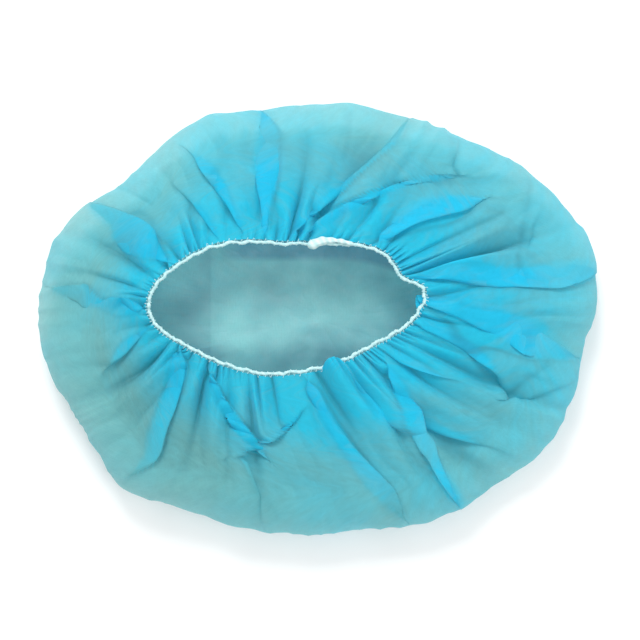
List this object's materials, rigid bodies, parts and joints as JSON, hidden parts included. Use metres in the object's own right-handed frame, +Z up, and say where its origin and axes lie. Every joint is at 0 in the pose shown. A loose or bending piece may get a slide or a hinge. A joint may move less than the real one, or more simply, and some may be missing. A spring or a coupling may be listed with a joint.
{
  "type": "disposable bouffant cap",
  "caption": "Disposable nonwoven bouffant cap lying on its crown, its rim rolled up and gathered inwards to a white elastic opening that faces up.",
  "frame": {"origin": "on the table, under the middle of the cap's outline", "axes": "+Z up, out of the opening; +X along the cap's length, to the right in the picture; +Y towards the picture's top"},
  "size_m": [0.3362, 0.2591, 0.0454],
  "materials": {
    "nonwoven_cloth": "matt translucent spunbond nonwoven, pale blue",
    "white_elastic": "white yarn-covered elastic with overlock stitching"
  },
  "bodies": {
    "root": {"cap_body": "nonwoven_cloth", "elastic_edge": "white_elastic", "elastic_lap": "white_elastic"}
  },
  "joints": []
}
